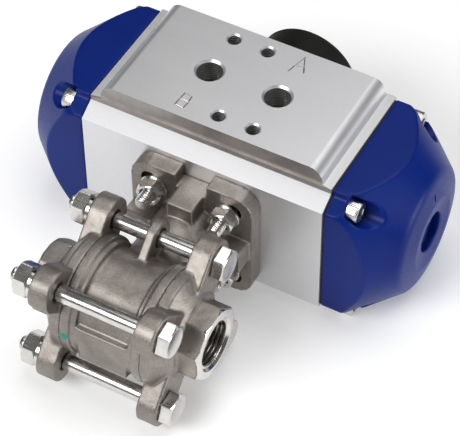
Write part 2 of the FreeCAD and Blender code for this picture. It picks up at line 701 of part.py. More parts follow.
def valve_body_cuts(body, pad_front):
    half = dim("body_half")
    chamber = dim("chamber_radius")
    rod(body, "x", [(0.0, 0.0)], chamber, -half, half, cut=True)
    gasket = chamber + 2.9
    rod(body, "x", [(0.0, 0.0)], gasket, half - 1.0, half, cut=True)
    rod(body, "x", [(0.0, 0.0)], gasket, -half, 1.0 - half, cut=True)
    stem = dim("stem_radius")
    rod(body, "y", [(0.0, 0.0)], stem + 1.9, 2.0, 14.6, cut=True)
    rod(body, "y", [(0.0, 0.0)], stem + 0.05, 14.0, 21.0, cut=True)
    rod(body, "y", [(0.0, 0.0)], dim("packing_radius"), 20.0, 30.0, cut=True)
    rod(body, "y", [(0.0, 0.0)], dim("recess_radius"), 29.0, FRONT, cut=True)
    rod(body, "x", [(BOLT, BOLT), (BOLT, -BOLT)], dim("bolt_radius") + 0.5, -4.0, 4.0, cut=True)
    notch = dim("notch_half_width")
    rib_top = dim("rib_top")
    notches = [rectangle(-notch, notch, rib_top * j, (dim("mount_pad_half") + 1.0) * j) for j in (1, -1)]
    prism(body, "y", notches, pad_front, FRONT, cut=True)
    slots = []
    slot_half = dim("stud_slot_width") * (ROOT_HALF / 2)
    for i, j in CORNERS:
        slots.append([
            (STUD * i - slot_half * j, STUD * j + slot_half * i),
            (STUD * i + slot_half * j, STUD * j - slot_half * i),
            (STUD_OUTER * i + slot_half * j, STUD_OUTER * j - slot_half * i),
            (STUD_OUTER * i - slot_half * j, STUD_OUTER * j + slot_half * i)])
    prism(body, "y", slots, pad_front, FRONT, cut=True)
    for reach in (STUD, STUD_OUTER):
        ends = [(reach * i, reach * j) for i, j in CORNERS]
        rod(body, "y", ends, dim("stud_slot_width") / 2, pad_front, FRONT, cut=True)


def valve_end():
    """Right end piece: flange with four bolt lugs, hub, wrench octagon and threaded socket."""
    body = new_body("valve_end_right")
    half = dim("body_half")
    flange = dim("body_flange_radius")
    outer = dim("lug_outer")
    end = dim("end_half")
    turned(body, "x", [(half, 0.0), (half, flange), (half + 3.4, flange), (outer - 0.6, 15.0),
                       (outer + 1.0, 12.6), (end - 1.2, 12.6), (end, 11.4), (end, 0.0)])
    lug = dim("lug_radius")
    for i, j in CORNERS:
        prism(body, "x", [lug_web((i, j), lug, BOLT)], dim("lug_inner"), outer)
    rod(body, "x", [(BOLT * i, BOLT * j) for i, j in CORNERS], lug, dim("lug_inner"), outer)
    trim_to_octagon(body, outer + 1.0, end)
    holes = [(BOLT * i, BOLT * j) for i, j in CORNERS]
    rod(body, "x", holes, dim("bolt_radius") + 0.5, dim("lug_inner"), outer, cut=True)
    thread = dim("pipe_thread_radius")
    thread_start = end - dim("pipe_thread_depth")
    rod(body, "x", [(0.0, 0.0)], dim("flow_radius"), half, end, cut=True)
    rod(body, "x", [(0.0, 0.0)], thread, thread_start, end, cut=True)
    return keep(body)


def trim_to_octagon(body, start, end):
    """Cuts eight wrench flats on the hub."""
    flat = dim("octagon_flats") / 2
    half_side = flat * math.tan(math.radians(22.5)) + 1.0
    outlines = []
    for k in range(8):
        c = math.cos(math.radians(45 * k))
        s = math.sin(math.radians(45 * k))
        near = [(flat, -half_side), (flat, half_side)]
        far = [(flat + 3.0, half_side), (flat + 3.0, -half_side)]
        corners = near + far
        outlines.append([(u * c - v * s, u * s + v * c) for u, v in corners])
    for outline in outlines:
        prism(body, "x", [outline], start, end + 0.5, cut=True)


def ball():
    """Ball with its through bore along the pipe and the stem slot across it."""
    body = new_body("ball")
    radius = dim("ball_radius")
    sketch = new_sketch(body, "z")
    centre = FreeCAD.Vector(0, 0, 0)
    arc = Part.ArcOfCircle(Part.Circle(centre, FreeCAD.Vector(0, 0, 1), number(radius)), 0, math.pi)
    sketch.addGeometry(arc, False)
    ends = (FreeCAD.Vector(-number(radius), 0, 0), FreeCAD.Vector(number(radius), 0, 0))
    sketch.addGeometry(Part.LineSegment(*ends), False)
    sketch.addConstraint(Sketcher.Constraint("Coincident", 0, 3, -1, 1))
    sketch.addConstraint(Sketcher.Constraint("Coincident", 0, 2, 1, 1))
    sketch.addConstraint(Sketcher.Constraint("Coincident", 0, 1, 1, 2))
    sketch.addConstraint(Sketcher.Constraint("Horizontal", 1))
    index = sketch.addConstraint(Sketcher.Constraint("Radius", 0, number(radius)))
    bind(sketch, f"Constraints[{index}]", radius)
    feature = body.newObject("PartDesign::Revolution", "turned")
    feature.Profile = sketch
    feature.ReferenceAxis = (sketch, ["H_Axis"])
    feature.Angle = 360
    flow = dim("flow_radius")
    rod(body, "x", [(0.0, 0.0)], flow, -(radius + 1.0), radius + 1.0, cut=True)
    slot = rectangle(-2.55, 2.55, -7.0, 7.0)
    prism(body, "y", [slot], 7.6, radius + 1.0, cut=True)
    return keep(body)


def seat():
    """Right seat ring: bored to the flow radius, dished to the ball."""
    ring = new_body("seat_blank")
    half = dim("body_half")
    chamber = dim("chamber_radius")
    turned(ring, "x", [(7.0, dim("flow_radius")), (7.0, 10.4), (9.0, chamber - 0.05),
                       (half, chamber - 0.05), (half, dim("flow_radius"))])
    dish = DOCUMENT.addObject("Part::Sphere", "seat_dish")
    bind(dish, "Radius", dim("ball_radius") + 0.1)
    seat_ring = DOCUMENT.addObject("Part::Cut", "seat_right")
    seat_ring.Base = ring
    seat_ring.Tool = dish
    return keep(seat_ring, "seat_right")


def body_gasket():
    body = new_body("body_gasket_right")
    half = dim("body_half")
    chamber = dim("chamber_radius")
    turned(body, "x", [(half - 1.0, chamber + 0.05), (half - 1.0, chamber + 2.85),
                       (half, chamber + 2.85), (half, chamber + 0.05)])
    return keep(body)


def valve_stem():
    """Stem with tang, blow-out-proof shoulder, threaded length and squared drive end."""
    body = new_body("valve_stem")
    radius = dim("stem_radius")
    end = FRONT + dim("socket_depth") - 1.0
    turned(body, "y", [(0.0, 7.7), (radius + 1.2, 7.7), (radius + 1.2, 11.4), (radius + 1.7, 11.6),
                       (radius + 1.7, 13.4), (radius, 13.4), (radius, end - 1.0),
                       (radius - 1.0, end), (0.0, end)])
    side = rectangle(2.5, 9.0, -9.0, 9.0)
    other = rectangle(-9.0, -2.5, -9.0, 9.0)
    prism(body, "y", [side, other], 7.0, 11.3, cut=True)
    half = dim("stem_flats") / 2
    flats = [rectangle(half, 8.0, -8.0, 8.0), rectangle(-8.0, -half, -8.0, 8.0)]
    prism(body, "y", flats, 37.4, end + 1.0, cut=True)
    caps = [rectangle(-8.0, 8.0, half, 8.0), rectangle(-8.0, 8.0, -8.0, -half)]
    prism(body, "y", caps, 37.4, end + 1.0, cut=True)
    return keep(body)


def stem_seals():
    radius = dim("stem_radius")
    packing = dim("packing_radius")
    simple_ring("stem_thrust_washer", radius + 0.05, radius + 1.7, 13.5, 14.55)
    simple_ring("stem_packing", radius + 0.05, packing - 0.03, 21.05, 26.0)
    simple_ring("packing_gland", radius + 0.1, packing - 0.1, 26.05, 30.2)


def disc_springs():
    """Two coned spring washers stacked point to point on the gland."""
    body = new_body("disc_spring_source")
    inner = dim("stem_radius") + 0.15
    outer = dim("stem_radius") + 3.4
    turned(body, "y", [(inner, 0.45), (outer, 0.0), (outer, 0.7), (inner, 1.15)])
    flipped = new_body("disc_spring_flipped")
    turned(flipped, "y", [(inner, 0.0), (outer, 0.45), (outer, 1.15), (inner, 0.7)])
    stack = [linked(flipped, (0.0, 30.25, 0.0)), linked(body, (0.0, 31.0, 0.0))]
    return grouped("disc_springs", stack)


def stem_nut():
    body = new_body("stem_nut")
    prism(body, "y", [hexagon(16.0, turn=15)], 32.8, 36.8)
    rod(body, "y", [(0.0, 0.0)], dim("stem_radius") + 0.04, 32.0, 37.5, cut=True)
    return keep(body)


def nut_lock_plate():
    """Thin tab plate that keeps the stem nut from turning."""
    body = new_body("nut_lock_plate")
    turned(body, "y", ring_outline(dim("stem_radius") + 0.1, 8.9, 32.2, 32.75))
    return keep(body)


# ---- valve fasteners -----------------------------------------------------------------
def corner_places(offset):
    return [(0.0, offset * i, offset * j) for i, j in CORNERS]


def body_bolts():
    """Four hexagon bolts through both end pieces, heads on the right."""
    bolt = new_body("body_bolt_source")
    seat_at = dim("lug_outer")
    radius = dim("bolt_radius")
    tip = -(seat_at + 8.9)
    turned(bolt, "x", [(tip, 0.0), (tip, radius - 0.3), (tip + 0.7, radius + 0.3),
                       (-15.0, radius + 0.3), (-14.4, radius), (seat_at, radius), (seat_at, 0.0)])
    prism(bolt, "x", [hexagon(10.0, turn=8)], seat_at + 0.25, seat_at + 4.0)
    turned(bolt, "x", [(seat_at - 0.5, 0.0), (seat_at - 0.5, radius), (seat_at, radius),
                       (seat_at, 4.6), (seat_at + 0.5, 4.6), (seat_at + 0.5, 0.0)])
    turned(bolt, "x", [(seat_at + 4.0 - 0.8, 5.9), (seat_at + 4.0 - 0.8, 7.0),
                       (seat_at + 4.2, 7.0), (seat_at + 4.2, 4.4)], cut=True)
    return copies("body_bolts", bolt, corner_places(BOLT))


def body_nuts():
    nut = new_body("body_nut_source")
    inner = -(dim("lug_outer") + 1.6)
    outer = inner - 5.0
    prism(nut, "x", [hexagon(10.0, turn=20)], outer, inner)
    rod(nut, "x", [(0.0, 0.0)], dim("bolt_radius") + 0.33, outer - 0.5, inner + 0.5, cut=True)
    for face, side in ((outer, -1), (inner, 1)):
        turned(nut, "x", [(face + 0.8 * -side, 5.9), (face + 0.8 * -side, 7.0),
                          (face + 0.2 * side, 7.0), (face + 0.2 * side, 4.5)], cut=True)
    return copies("body_nuts", nut, corner_places(BOLT))


def spring_washers():
    washer = new_body("spring_washer_source")
    inner = -dim("lug_outer")
    outer = inner - 1.6
    turned(washer, "x", [(outer, 3.05), (outer, 5.0), (inner, 5.0), (inner, 3.05)])
    split = rectangle(-0.5, 0.5, 2.0, 6.0)
    prism(washer, "x", [split], outer - 0.2, inner + 0.2, cut=True)
    return copies("spring_washers", washer, corner_places(BOLT))


def pad_places():
    return [(STUD * i, 0.0, STUD * j) for i, j in CORNERS]


def pad_fasteners():
    """M5 studs from the actuator face through the valve's pad, each with washer and nut."""
    pad_front = FRONT - dim("mount_pad_thickness")
    stud = new_body("pad_stud_source")
    turned(stud, "y", [(0.0, pad_front - 9.2), (2.0, pad_front - 9.2), (2.48, pad_front - 8.7),
                       (2.48, FRONT), (2.08, FRONT), (2.08, FRONT + 7.0), (0.0, FRONT + 7.0)])
    copies("pad_studs", stud, pad_places())
    washer = new_body("pad_washer_source")
    turned(washer, "y", ring_outline(2.55, 4.6, pad_front - 1.0, pad_front))
    copies("pad_washers", washer, pad_places())
    nut = new_body("pad_nut_source")
    prism(nut, "y", [hexagon(8.0, turn=12)], pad_front - 5.0, pad_front - 1.0)
    rod(nut, "y", [(0.0, 0.0)], 2.5, pad_front - 6.0, pad_front, cut=True)
    copies("pad_nuts", nut, pad_places())


def build():
    actuator_housing()
    dome = cover_dome()
    cover = keep(end_cover("right", dome), "end_cover_right")
    mirrored(cover, "end_cover_left")
    gasket = cover_gasket()
    mirrored(gasket, "cover_gasket_left")
    cover_screws()
    piston(1, -1)
    piston(-1, 1)
    piston_guide(1, -1)
    piston_guide(-1, 1)
    piston_ring(1)
    piston_ring(-1)
    pinion()
    pinion_supports()
    retaining_ring()
    position_indicator()
    indicator_screw()
    valve_body()
    end_piece = valve_end()
    mirrored(end_piece, "valve_end_left")
    ball()
    seat_ring = seat()
    mirrored(seat_ring, "seat_left")
    seal = body_gasket()
    mirrored(seal, "body_gasket_left")
    valve_stem()
    stem_seals()
    disc_springs()
    stem_nut()
    nut_lock_plate()
    body_bolts()
    body_nuts()
    spring_washers()
    pad_fasteners()


def check_and_export():
    DOCUMENT.recompute()
    for item in DOCUMENT.Objects:
        state = [word for word in item.State if word in ("Invalid", "Error")]
        if state:
            raise RuntimeError(f"{item.Label}: {state}")
    os.makedirs("parts", exist_ok=True)
    for item in PARTS:
        shape = item.Shape
        if shape.isNull() or not shape.isValid():
            raise RuntimeError(f"{item.Label} has no valid shape")
        solids = len(shape.Solids)
        box = shape.BoundBox
        print(f"{item.Label}: {solids} solid(s), {shape.Volume / 1000:.2f} cm3, "
              f"x {box.XMin:.1f}..{box.XMax:.1f} "
              f"y {box.YMin:.1f}..{box.YMax:.1f} z {box.ZMin:.1f}..{box.ZMax:.1f}")
        shape.exportStep(f"parts/{item.Label}.step")


build()
check_and_export()
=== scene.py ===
"""Rack-and-pinion actuator on a three-piece ball valve: surfaces, fine geometry, light and camera."""

import json
import math

import bmesh
import bpy
from mathutils import Matrix, Vector, noise


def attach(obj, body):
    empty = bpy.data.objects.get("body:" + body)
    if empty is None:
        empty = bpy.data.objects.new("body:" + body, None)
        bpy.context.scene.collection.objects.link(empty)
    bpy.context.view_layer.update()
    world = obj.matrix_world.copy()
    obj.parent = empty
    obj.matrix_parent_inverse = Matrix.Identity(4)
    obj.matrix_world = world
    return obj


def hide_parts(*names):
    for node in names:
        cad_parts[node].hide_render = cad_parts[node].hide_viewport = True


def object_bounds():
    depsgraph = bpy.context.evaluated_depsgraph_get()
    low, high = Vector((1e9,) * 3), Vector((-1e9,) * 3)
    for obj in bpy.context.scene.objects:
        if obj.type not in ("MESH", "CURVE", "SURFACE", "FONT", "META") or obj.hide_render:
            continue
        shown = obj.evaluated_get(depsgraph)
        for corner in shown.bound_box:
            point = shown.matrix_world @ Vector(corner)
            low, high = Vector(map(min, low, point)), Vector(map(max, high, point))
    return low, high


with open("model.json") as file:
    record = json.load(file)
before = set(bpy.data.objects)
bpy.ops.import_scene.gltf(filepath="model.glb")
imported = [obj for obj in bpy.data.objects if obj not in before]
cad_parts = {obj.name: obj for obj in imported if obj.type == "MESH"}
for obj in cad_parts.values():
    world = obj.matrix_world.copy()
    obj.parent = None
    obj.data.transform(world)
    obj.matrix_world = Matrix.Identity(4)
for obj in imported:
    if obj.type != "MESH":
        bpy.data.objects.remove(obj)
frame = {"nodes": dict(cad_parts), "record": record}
cad_low, cad_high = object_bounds()
NODES = frame["nodes"]
MM = 0.001
TAU = 2 * math.pi

# Sizes of the object, in millimetres, as the CAD nodes have them.
CORNERS = ((1, 1), (-1, 1), (-1, -1), (1, -1))
BOLT = 16.4                     # body bolts stand at +-BOLT in Y and Z
M6_FLATS = 10.0                 # width of the body bolts' heads and nuts across flats
LUG_OUTER = 21.2                # outer face of the bolt lugs
STUD = 18.0 * math.sqrt(0.5)    # pad studs stand at +-STUD in X and Z, on a 36 mm circle
M5_FLATS = 8.0                  # width of the pad nuts across flats
FRONT = 42.75                   # actuator face that the valve's pad sits on
PAD_FRONT = FRONT - 5.7         # nut side of the valve's pad
AXIS_Y = 71.0                   # pinion and cylinder height along the stem
PORT_FACE = 33.8                # top of the air-port pad
PIPE_FACE = 29.45               # machined end of the valve, along X
SCREW_SEAT = 48.1               # under the heads of the cover screws, along X
COVER_SCREWS = [(AXIS_Y + 21.5 * i, 22.0 * j) for i, j in CORNERS]


# ---- mesh helpers --------------------------------------------------------------------
def add_object(name, mesh, body="root"):
    obj = bpy.data.objects.new(name, mesh)
    bpy.context.scene.collection.objects.link(obj)
    if body:
        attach(obj, body)
    return obj


def node_mesh(node, weld=2e-6):
    """The welded shape of a CAD node, without its imported normals."""
    source = NODES[node].data
    bm = bmesh.new()
    points = [bm.verts.new(vertex.co) for vertex in source.vertices]
    for face in source.polygons:
        corners = [points[i] for i in face.vertices]
        if len(set(corners)) == len(corners) and not bm.faces.get(corners):
            bm.faces.new(corners)
    bmesh.ops.remove_doubles(bm, verts=bm.verts, dist=weld)
    bmesh.ops.dissolve_degenerate(bm, edges=bm.edges, dist=1e-7)
    bmesh.ops.recalc_face_normals(bm, faces=bm.faces)
    mesh = bpy.data.meshes.new(node)
    bm.to_mesh(mesh)
    bm.free()
    return mesh


def bake(obj):
    """Applies the object's modifiers to its mesh."""
    bpy.context.view_layer.update()
    graph = bpy.context.evaluated_depsgraph_get()
    mesh = bpy.data.meshes.new_from_object(obj.evaluated_get(graph))
    mesh.name = obj.name
    obj.modifiers.clear()
    obj.data = mesh


def smooth_by_angle(obj, degrees):
    """Smooth shading, with the edges that turn further than this kept sharp."""
    limit = math.radians(degrees)
    bm = bmesh.new()
    bm.from_mesh(obj.data)
    for face in bm.faces:
        face.smooth = True
    for edge in bm.edges:
        sharp = len(edge.link_faces) == 2 and edge.calc_face_angle(0.0) > limit
        edge.smooth = not sharp
    bm.to_mesh(obj.data)
    bm.free()


def add_bevel(obj, width, degrees):
    """Breaks the edges that turn further than this, by a width in mm."""
    bevel = obj.modifiers.new("edges", "BEVEL")
    bevel.width = width * MM
    bevel.segments = 2
    bevel.angle_limit = math.radians(degrees)


def value_at(item, angle):
    return item(angle) if callable(item) else item


def lathe_mesh(name, rows, columns, axis="x", centre=(0.0, 0.0, 0.0)):
    """A closed turned shape. Each row is (radius, place along axis) in mm, and either may
    depend on the angle. A row of radius 0 is a single point."""
    bm = bmesh.new()
    rings = []
    for radius, place in rows:
        ring = []
        single = not callable(radius) and radius == 0.0
        for k in range(1 if single else columns):
            angle = TAU * k / columns
            reach = value_at(radius, angle)
            along = value_at(place, angle)
            u, v = reach * math.cos(angle), reach * math.sin(angle)
            spot = {"x": (along, u, v), "y": (u, along, v), "z": (u, v, along)}[axis]
            ring.append(bm.verts.new(Vector(spot) * MM + Vector(centre) * MM))
        rings.append(ring)
    closed = len(rings[0]) > 1 and len(rings[-1]) > 1
    pairs = list(zip(rings, rings[1:])) + ([(rings[-1], rings[0])] if closed else [])
    for one, two in pairs:
        for k in range(columns):
            following = (k + 1) % columns
            if len(one) == 1:
                corners = (one[0], two[following], two[k])
            elif len(two) == 1:
                corners = (one[k], one[following], two[0])
            else:
                corners = (one[k], one[following], two[following], two[k])
            bm.faces.new(corners)
    bmesh.ops.recalc_face_normals(bm, faces=bm.faces)
    mesh = bpy.data.meshes.new(name)
    bm.to_mesh(mesh)
    bm.free()
    return mesh


def joined(name, meshes):
    """One mesh out of several."""
    bm = bmesh.new()
    for mesh in meshes:
        bm.from_mesh(mesh)
        bpy.data.meshes.remove(mesh)
    mesh = bpy.data.meshes.new(name)
    bm.to_mesh(mesh)
    bm.free()
    return mesh


def hex_radius(flats, turn):
    """Radius of a hexagon at an angle, with its first corner at turn degrees."""
    def radius(angle):
        local = (angle - math.radians(turn)) % (TAU / 6) - TAU / 12
        return flats / 2 / math.cos(local)
    return radius


def hex_chamfer(flats, turn, face, direction, circle):
    """Place of the 30 degree corner chamfer's lower edge, which rises towards the middle of each flat."""
    radius = hex_radius(flats, turn)
    return lambda angle: face - direction * max(radius(angle) - circle, 0.0) * 0.577


def thread_rows(low, high, pitch, start, end, per_turn=8, fade=0.8):
    """Rows of a helical thread that rises from radius low towards high, from start to end along the
    axis. The ridge fills half the pitch, and the thread fades in and out over fade turns."""
    span = abs(end - start)
    count = max(2, int(span / pitch * per_turn))
    way = 1.0 if end > start else -1.0

    def make(distance):
        place = start + way * distance

        def radius(angle):
            phase = (place / pitch - angle / TAU) % 1.0
            ridge = min(max((0.5 - abs(phase - 0.5)) * 2.6 - 0.65, 0.0), 1.0)
            ease = min(1.0, distance / (fade * pitch), (span - distance) / (fade * pitch))
            return low + (high - low) * ridge * max(ease, 0.0)
        return radius, place

    return [make(span * k / count) for k in range(count + 1)]


def cut(obj, cutters):
    """Removes the cutters' shapes from the object."""
    helpers = []
    for mesh in cutters:
        tool = bpy.data.objects.new("tool", mesh)
        bpy.context.scene.collection.objects.link(tool)
        modifier = obj.modifiers.new("cut", "BOOLEAN")
        modifier.operation = "DIFFERENCE"
        modifier.solver = "MANIFOLD"
        modifier.object = tool
        helpers.append(tool)
    bake(obj)
    for tool in helpers:
        bpy.data.objects.remove(tool)


# ---- material helpers ----------------------------------------------------------------
class Surface:
    """A Principled material whose colour, roughness and bump come from procedural nodes."""

    def __init__(self, name, metallic=0.0, **constants):
        self.material = bpy.data.materials.new(name)
        self.material.use_nodes = True
        self.tree = self.material.node_tree
        self.shader = self.tree.nodes["Principled BSDF"]
        self.shader.inputs["Metallic"].default_value = metallic
        for key, value in constants.items():
            self.shader.inputs[key.replace("_", " ")].default_value = value
        self.place = self.tree.nodes.new("ShaderNodeTexCoord").outputs["Object"]
        self.normal = None

    def stretched(self, scale):
        mapping = self.tree.nodes.new("ShaderNodeMapping")
        mapping.inputs["Scale"].default_value = scale
        self.tree.links.new(self.place, mapping.inputs["Vector"])
        return mapping.outputs["Vector"]

    def noise(self, scale, detail=3.0, roughness=0.55, stretch=(1, 1, 1)):
        """Noise whose scale is in features per metre."""
        node = self.tree.nodes.new("ShaderNodeTexNoise")
        node.inputs["Scale"].default_value = scale
        node.inputs["Detail"].default_value = detail
        node.inputs["Roughness"].default_value = roughness
        self.tree.links.new(self.stretched(stretch), node.inputs["Vector"])
        return node.outputs["Fac"]

    def cells(self, scale):
        """Distance to the nearest of many scattered points, so many per metre."""
        node = self.tree.nodes.new("ShaderNodeTexVoronoi")
        node.inputs["Scale"].default_value = scale
        self.tree.links.new(self.place, node.inputs["Vector"])
        return node.outputs["Distance"]

    def spread(self, source, low, high, start=0.3, end=0.7):
        """The source's range from start to end, mapped onto low to high."""
        node = self.tree.nodes.new("ShaderNodeMapRange")
        for key, value in (("From Min", start), ("From Max", end), ("To Min", low), ("To Max", high)):
            node.inputs[key].default_value = value
        self.tree.links.new(source, node.inputs["Value"])
        return node.outputs["Result"]

    def ramp(self, source, stops):
        node = self.tree.nodes.new("ShaderNodeValToRGB")
        band = node.color_ramp
        while len(band.elements) < len(stops):
            band.elements.new(0.5)
        for element, (spot, colour) in zip(band.elements, stops):
            element.position = spot
            element.color = (*colour, 1.0)
        self.tree.links.new(source, node.inputs["Fac"])
        return node.outputs["Color"]

    def mixed(self, factor, first, second, blend="MIX"):
        node = self.tree.nodes.new("ShaderNodeMix")
        node.data_type = "RGBA"
        node.blend_type = blend
        for socket, item in (("Factor_Float", factor), ("A_Color", first), ("B_Color", second)):
            target = next(entry for entry in node.inputs if entry.identifier == socket)
            if isinstance(item, (int, float)):
                target.default_value = item
            elif isinstance(item, tuple):
                target.default_value = (*item, 1.0)
            else:
                self.tree.links.new(item, target)
        return next(entry for entry in node.outputs if entry.identifier == "Result_Color")

    def near(self, centre, radius):
        """1 inside a small soft-edged ball round a point in metres, 0 outside."""
        mapping = self.tree.nodes.new("ShaderNodeMapping")
        mapping.inputs["Location"].default_value = tuple(-c for c in centre)
        self.tree.links.new(self.place, mapping.inputs["Vector"])
        length = self.tree.nodes.new("ShaderNodeVectorMath")
        length.operation = "LENGTH"
        self.tree.links.new(mapping.outputs["Vector"], length.inputs[0])
        return self.spread(length.outputs["Value"], 1.0, 0.0, radius * 0.7, radius)

    def colour(self, source):
        self.tree.links.new(source, self.shader.inputs["Base Color"])

    def roughness(self, source):
        self.tree.links.new(source, self.shader.inputs["Roughness"])

    def bump(self, source, depth):
        """Adds relief of the given depth in millimetres."""
        node = self.tree.nodes.new("ShaderNodeBump")
        node.inputs["Strength"].default_value = 1.0
        node.inputs["Distance"].default_value = depth * MM
        self.tree.links.new(source, node.inputs["Height"])
        if self.normal is not None:
            self.tree.links.new(self.normal, node.inputs["Normal"])
        self.normal = node.outputs["Normal"]
        self.tree.links.new(self.normal, self.shader.inputs["Normal"])


def housing_surface():
    """Clear-anodised extrusion: fine etch grain and faint drawing lines along X."""
    surface = Surface("anodised_aluminium", metallic=0.85, Specular_IOR_Level=0.5)
    lines = surface.noise(1.0, detail=4.0, stretch=(6, 900, 900))
    grain = surface.noise(5200.0, detail=2.0)
    cloud = surface.noise(28.0, detail=3.0)
    tone = surface.ramp(cloud, ((0.25, (0.74, 0.74, 0.755)), (0.75, (0.79, 0.79, 0.80))))
    speck = surface.ramp(grain, ((0.3, (0.90, 0.90, 0.90)), (0.7, (1.0, 1.0, 1.0))))
    surface.colour(surface.mixed(1.0, tone, speck, "MULTIPLY"))
    surface.roughness(surface.spread(lines, 0.39, 0.44))
    surface.bump(lines, 0.0012)
    surface.bump(grain, 0.003)
    return surface.material


def blue_surface():
    """Satin blue powder coat with orange peel."""
    surface = Surface("blue_powder_coat", Specular_IOR_Level=0.15)
    peel = surface.noise(950.0, detail=2.0)
    fine = surface.noise(4200.0, detail=2.0)
    cloud = surface.noise(40.0, detail=2.0)
    surface.colour(surface.ramp(cloud, ((0.25, (0.0015, 0.014, 0.150)), (0.75, (0.002, 0.018, 0.185)))))
    surface.roughness(surface.spread(peel, 0.30, 0.40))
    surface.bump(peel, 0.014)
    surface.bump(fine, 0.005)
    return surface.material


# Centre and radius of each dot of marking paint, in metres.
PAINT_DOTS = (((-0.0180, -0.0213, 0.0137), 0.0016), ((-0.0121, -0.0191, 0.0003), 0.0015))


def cast_surface():
    """Bead-blasted investment casting, brownish grey, with pits and dots of green marking paint."""
    surface = Surface("blasted_cast_stainless", metallic=0.9)
    cloud = surface.noise(120.0, detail=4.0, roughness=0.6)
    grain = surface.noise(1900.0, detail=4.0, roughness=0.7)
    pits = surface.cells(1100.0)
    tone = surface.ramp(cloud, ((0.2, (0.26, 0.234, 0.211)), (0.5, (0.36, 0.329, 0.302)),
                                (0.8, (0.46, 0.425, 0.392))))
    speck = surface.ramp(grain, ((0.3, (0.62, 0.61, 0.60)), (0.7, (1.0, 1.0, 1.0))))
    metal = surface.mixed(1.0, tone, speck, "MULTIPLY")
    for spot, size in PAINT_DOTS:
        metal = surface.mixed(surface.near(spot, size), metal, (0.02, 0.30, 0.24))
    surface.colour(metal)
    surface.roughness(surface.spread(grain, 0.38, 0.54))
    surface.bump(surface.spread(pits, 0.0, 1.0, 0.0, 0.35), 0.03)
    surface.bump(grain, 0.06)
    return surface.material


def turned_surface(name, dark, light, low, high, stretch=(1, 1, 1)):
    """Bright machined steel with fine tool marks."""
    surface = Surface(name, metallic=1.0)
    marks = surface.noise(1.0, detail=3.0, stretch=stretch)
    cloud = surface.noise(260.0, detail=3.0)
    surface.colour(surface.ramp(cloud, ((0.25, dark), (0.75, light))))
    surface.roughness(surface.spread(marks, low, high))
    surface.bump(marks, 0.003)
    return surface.material


def plastic_surface(name, dark, light, low, high, grain=2200.0, depth=0.01, **constants):
    """Moulded plastic or rubber with a fine matt texture."""
    surface = Surface(name, **constants)
    texture = surface.noise(grain, detail=3.0)
    cloud = surface.noise(90.0, detail=2.0)
    surface.colour(surface.ramp(cloud, ((0.25, dark), (0.75, light))))
    surface.roughness(surface.spread(texture, low, high))
    surface.bump(texture, depth)
    return surface.material


MATERIALS = {
    "housing_aluminium": housing_surface(),
    "cover_blue": blue_surface(),
    "gasket_black": plastic_surface("black_sheet_gasket", (0.012, 0.012, 0.012), (0.02, 0.02, 0.02),
                                    0.7, 0.85),
    "fastener_steel": turned_surface("bright_fastener_steel", (0.60, 0.59, 0.57), (0.72, 0.71, 0.69),
                                     0.16, 0.30, (200, 5000, 5000)),
    "piston_aluminium": turned_surface("turned_piston_aluminium", (0.60, 0.61, 0.62), (0.68, 0.69, 0.70),
                                       0.30, 0.42, (6000, 300, 300)),
    "guide_plastic": plastic_surface("natural_acetal", (0.72, 0.69, 0.58), (0.80, 0.77, 0.66),
                                     0.42, 0.55),
    "seal_rubber": plastic_surface("nitrile_rubber", (0.012, 0.012, 0.012), (0.022, 0.022, 0.022),
                                   0.55, 0.7),
    "pinion_steel": turned_surface("nickel_plated_steel", (0.50, 0.50, 0.49), (0.60, 0.60, 0.59),
                                   0.24, 0.36, (300, 6000, 300)),
    "indicator_plastic": plastic_surface("black_polyamide", (0.010, 0.010, 0.009), (0.015, 0.015, 0.013),
                                         0.50, 0.64, 1500.0, 0.02, Specular_IOR_Level=0.12),
    "cast_stainless": cast_surface(),
    "stem_stainless": turned_surface("turned_stainless", (0.50, 0.49, 0.47), (0.60, 0.59, 0.57),
                                     0.22, 0.36, (300, 6000, 300)),
    "ball_polished": turned_surface("polished_ball", (0.74, 0.74, 0.74), (0.80, 0.80, 0.80),
                                    0.05, 0.10, (400, 400, 400)),
    "ptfe_white": plastic_surface("white_ptfe", (0.82, 0.81, 0.78), (0.88, 0.87, 0.84),
                                  0.35, 0.5, 900.0, 0.004),
}

# Machined surfaces within a piece, which its own function adds after the piece's material; the darker ones
# carry painted shade.
# Tapped holes: raw machined aluminium, made darker still as painted shade inside the holes.
SHADED_HOLE_METAL = turned_surface("tapped_hole_painted_shade", (0.24, 0.24, 0.23), (0.32, 0.32, 0.31), 0.34, 0.46,
                       (900, 900, 5000))
# Pipe thread: darker than the turned face, as painted shade in the bore.
SHADED_PIPE_THREAD = turned_surface("pipe_thread_painted_shade", (0.30, 0.285, 0.265), (0.38, 0.365, 0.345), 0.26, 0.38,
                          (5000, 700, 700))
# Pad wall and letter strokes: a dark brownish colour that is painted shade, and on the wall also a painted
# reflection.
SHADED_WALL_AND_LETTERS = turned_surface("pad_wall_and_letters_painted_shade", (0.33, 0.308, 0.292), (0.39, 0.368, 0.352), 0.34, 0.42,
                        (40, 900, 900))
MACHINED = turned_surface("turned_valve_face", (0.62, 0.60, 0.57), (0.72, 0.70, 0.67), 0.16, 0.30,
                          (5000, 700, 700))

SLOT_OF = {part["node"]: part["material_slot"] for part in frame["record"]["subparts"]}
for node, obj in NODES.items():
    obj.data.materials.clear()
    obj.data.materials.append(MATERIALS[SLOT_OF[node]])


# ---- fasteners -----------------------------------------------------------------------
def finish_piece(name, meshes, node):
    """One visible piece made of the meshes, which stands for a CAD node."""
    obj = add_object(name, joined(name, meshes), "root")
    obj.data.materials.append(MATERIALS[SLOT_OF[node]])
    smooth_by_angle(obj, 32)
    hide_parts(node)


